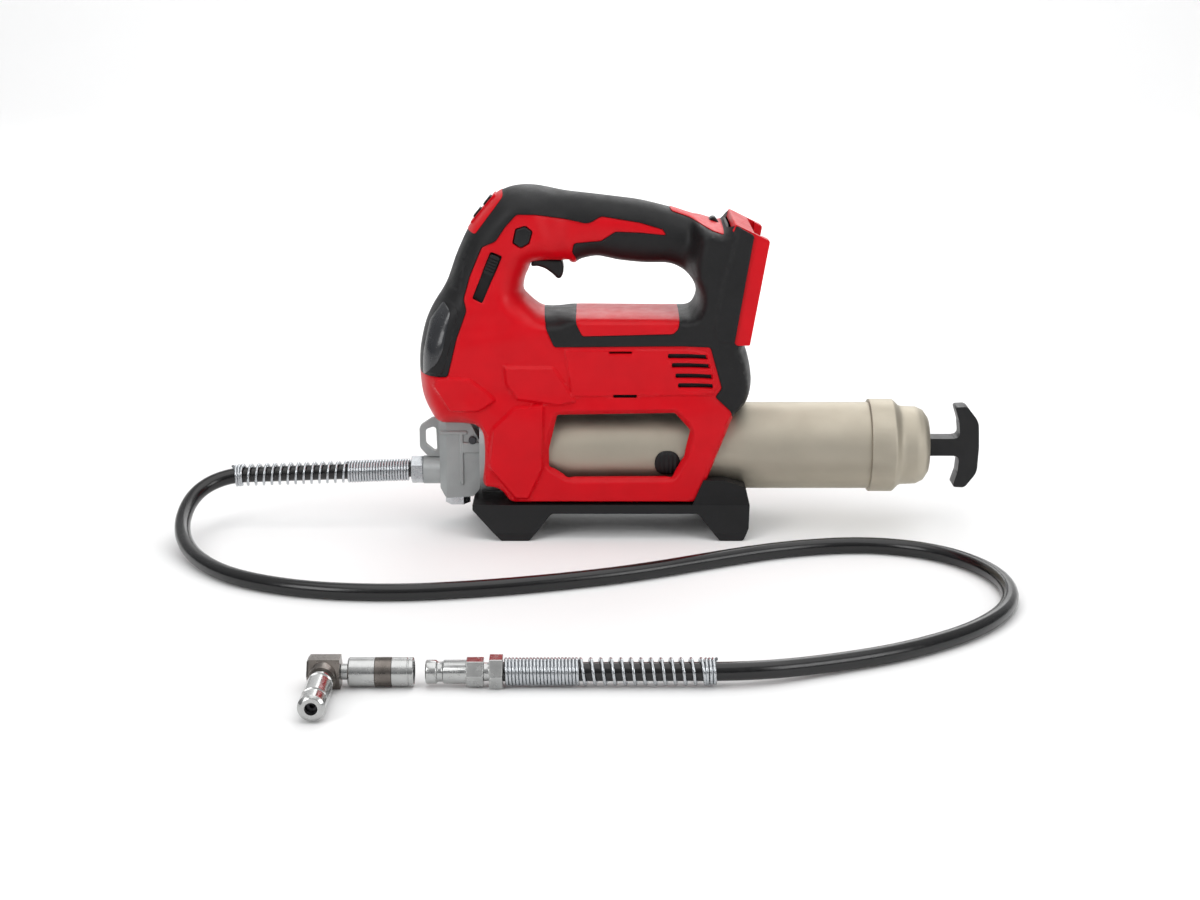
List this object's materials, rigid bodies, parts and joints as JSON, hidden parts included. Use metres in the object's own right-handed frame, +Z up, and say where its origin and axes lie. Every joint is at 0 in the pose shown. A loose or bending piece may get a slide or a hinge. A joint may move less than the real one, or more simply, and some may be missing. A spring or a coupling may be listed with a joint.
{
  "type": "grease gun",
  "caption": "Battery grease gun on a stand: pistol-loop handle, motor-driven plunger pump, screw-in grease barrel with T-handle, whip hose and right-angle coupler.",
  "frame": {"origin": "on the floor under the middle of the tool, its hose and coupler left out", "axes": "+X from the pump head to the T-handle along the barrel, +Z up, the housing halves meet at Y=0"},
  "size_m": [0.5178, 0.404, 0.2236],
  "materials": {
    "red_plastic": "satin",
    "black_rubber": "matte",
    "black_plastic": "matte",
    "barrel_steel": "satin",
    "cast_head": "cast",
    "zinc_steel": "satin",
    "dark_steel": "satin",
    "gear_steel": "ground",
    "spring_steel": "satin",
    "hose_rubber": "gloss",
    "copper": "satin",
    "magnet": "matte",
    "seal_rubber": "matte"
  },
  "bodies": {
    "housing": {"housing_left": "red_plastic", "housing_right": "red_plastic", "grip_overmold_left": "black_rubber", "grip_overmold_right": "black_rubber", "housing_screws": "zinc_steel", "base_stand": "black_rubber", "battery_bay": "red_plastic", "terminal_block": "black_plastic", "battery_terminals": "copper", "control_panel": "red_plastic", "trigger_pin": "gear_steel", "trigger_spring": "spring_steel", "switch_module": "black_plastic", "motor_can": "zinc_steel", "motor_magnets": "magnet", "motor_bearing_front": "gear_steel", "motor_bearing_rear": "gear_steel", "brush_card": "black_plastic", "gear_case": "cast_head", "ring_gear": "gear_steel", "output_bearing": "gear_steel", "pump_head": "cast_head", "check_spring": "spring_steel", "head_plug": "zinc_steel", "outlet_nut": "zinc_steel", "bleed_valve": "dark_steel", "barrel_gasket": "seal_rubber", "hose": "hose_rubber", "spring_guard_head": "spring_steel", "spring_guard_end": "spring_steel", "coupler_fitting": "zinc_steel"},
    "trigger": {"trigger": "black_plastic"},
    "lock_button": {"lock_off_button": "black_plastic"},
    "selector": {"speed_selector": "black_plastic"},
    "upper_button": {"panel_button_upper": "black_rubber"},
    "lower_button": {"panel_button_lower": "black_rubber"},
    "motor_shaft": {"motor_armature": "copper", "motor_fan": "black_plastic"},
    "first_carrier": {"carrier_1": "gear_steel"},
    "crank": {"crank_shaft": "gear_steel"},
    "pump_plunger": {"yoke": "gear_steel", "plunger": "gear_steel"},
    "ball": {"check_ball": "gear_steel"},
    "barrel": {"barrel_tube": "barrel_steel", "barrel_end_cap": "barrel_steel", "follower_spring": "spring_steel"},
    "follower": {"follower_cup": "seal_rubber", "follower_plate": "zinc_steel"},
    "rod": {"follower_rod": "zinc_steel", "t_handle": "black_plastic"},
    "coupler_sleeve": {"elbow_sleeve": "dark_steel"},
    "elbow": {"elbow_body": "dark_steel", "nozzle": "zinc_steel"},
    "planet_1a_body": {"planet_1a": "gear_steel"},
    "planet_1b_body": {"planet_1b": "gear_steel"},
    "planet_1c_body": {"planet_1c": "gear_steel"},
    "planet_2a_body": {"planet_2a": "gear_steel"},
    "planet_2b_body": {"planet_2b": "gear_steel"},
    "planet_2c_body": {"planet_2c": "gear_steel"}
  },
  "joints": [
    {"name": "trigger_pull", "type": "hinge", "parent": "housing", "child": "trigger", "pos_m": [-0.099, 0, 0.186], "axis": [0, -1, 0], "range_deg": [0, 12], "stiffness_Nm_per_rad": 0.6, "springref_deg": -5.73, "deforming": ["trigger_spring"]},
    {"name": "lock_off_push", "type": "slide", "parent": "housing", "child": "lock_button", "axis": [0, 1, 0], "range_m": [0, 0.003]},
    {"name": "speed_select", "type": "slide", "parent": "housing", "child": "selector", "axis": [0.3939, 0, 0.9191], "range_m": [-0.014, 0]},
    {"name": "upper_button_press", "type": "slide", "parent": "housing", "child": "upper_button", "axis": [0.7668, 0, -0.6419], "range_m": [0, 0.0009], "stiffness_N_per_m": 600, "springref_m": -0.0002},
    {"name": "lower_button_press", "type": "slide", "parent": "housing", "child": "lower_button", "axis": [0.7668, 0, -0.6419], "range_m": [0, 0.0009], "stiffness_N_per_m": 600, "springref_m": -0.0002},
    {"name": "motor_spin", "type": "hinge", "parent": "housing", "child": "motor_shaft", "pos_m": [0, 0, 0.112], "axis": [1, 0, 0], "continuous": true},
    {"name": "first_carrier_turn", "type": "hinge", "parent": "housing", "child": "first_carrier", "pos_m": [-0.088, 0, 0.112], "axis": [1, 0, 0], "continuous": true},
    {"name": "crank_turn", "type": "hinge", "parent": "housing", "child": "crank", "pos_m": [-0.13, 0, 0.112], "axis": [1, 0, 0], "continuous": true},
    {"name": "planet_1a_spin", "type": "hinge", "parent": "first_carrier", "child": "planet_1a_body", "pos_m": [-0.0815, 0.0135, 0.112], "axis": [1, 0, 0], "continuous": true},
    {"name": "planet_1b_spin", "type": "hinge", "parent": "first_carrier", "child": "planet_1b_body", "pos_m": [-0.0815, -0.00675, 0.12369], "axis": [1, 0, 0], "continuous": true},
    {"name": "planet_1c_spin", "type": "hinge", "parent": "first_carrier", "child": "planet_1c_body", "pos_m": [-0.0815, -0.00675, 0.10031], "axis": [1, 0, 0], "continuous": true},
    {"name": "planet_2a_spin", "type": "hinge", "parent": "crank", "child": "planet_2a_body", "pos_m": [-0.0975, 0.0135, 0.112], "axis": [1, 0, 0], "continuous": true},
    {"name": "planet_2b_spin", "type": "hinge", "parent": "crank", "child": "planet_2b_body", "pos_m": [-0.0975, -0.00675, 0.12369], "axis": [1, 0, 0], "continuous": true},
    {"name": "planet_2c_spin", "type": "hinge", "parent": "crank", "child": "planet_2c_body", "pos_m": [-0.0975, -0.00675, 0.10031], "axis": [1, 0, 0], "continuous": true},
    {"name": "pump_stroke", "type": "slide", "parent": "housing", "child": "pump_plunger", "axis": [0, 0, 1], "range_m": [-0.008, 0.008]},
    {"name": "check_ball_lift", "type": "slide", "parent": "housing", "child": "ball", "axis": [0, 0, -1], "range_m": [0, 0.0015], "stiffness_N_per_m": 200, "springref_m": -0.001, "deforming": ["check_spring"]},
    {"name": "barrel_withdraw", "type": "slide", "parent": "housing", "child": "barrel", "axis": [1, 0, 0], "range_m": [0, 0.2]},
    {"name": "follower_slide", "type": "slide", "parent": "barrel", "child": "follower", "axis": [1, 0, 0], "range_m": [0, 0.2], "stiffness_N_per_m": 60, "springref_m": -0.05, "deforming": ["follower_spring"]},
    {"name": "rod_twist", "type": "hinge", "parent": "follower", "child": "rod", "pos_m": [-0.1, 0, 0.053], "axis": [1, 0, 0], "range_deg": [0, 90]},
    {"name": "coupler_push", "type": "slide", "parent": "housing", "child": "coupler_sleeve", "axis": [1, 0, 0], "range_m": [0, 0.026]},
    {"name": "elbow_swivel", "type": "hinge", "parent": "coupler_sleeve", "child": "elbow", "pos_m": [-0.205, -0.308, 0.00805], "axis": [1, 0, 0], "continuous": true}
  ],
  "couplings": [
    {"joint": "first_carrier_turn", "follows": "motor_spin", "ratio": 0.2},
    {"joint": "crank_turn", "follows": "motor_spin", "ratio": 0.04},
    {"joint": "planet_1a_spin", "follows": "motor_spin", "ratio": -0.53333},
    {"joint": "planet_1b_spin", "follows": "motor_spin", "ratio": -0.53333},
    {"joint": "planet_1c_spin", "follows": "motor_spin", "ratio": -0.53333},
    {"joint": "planet_2a_spin", "follows": "motor_spin", "ratio": -0.10667},
    {"joint": "planet_2b_spin", "follows": "motor_spin", "ratio": -0.10667},
    {"joint": "planet_2c_spin", "follows": "motor_spin", "ratio": -0.10667}
  ]
}
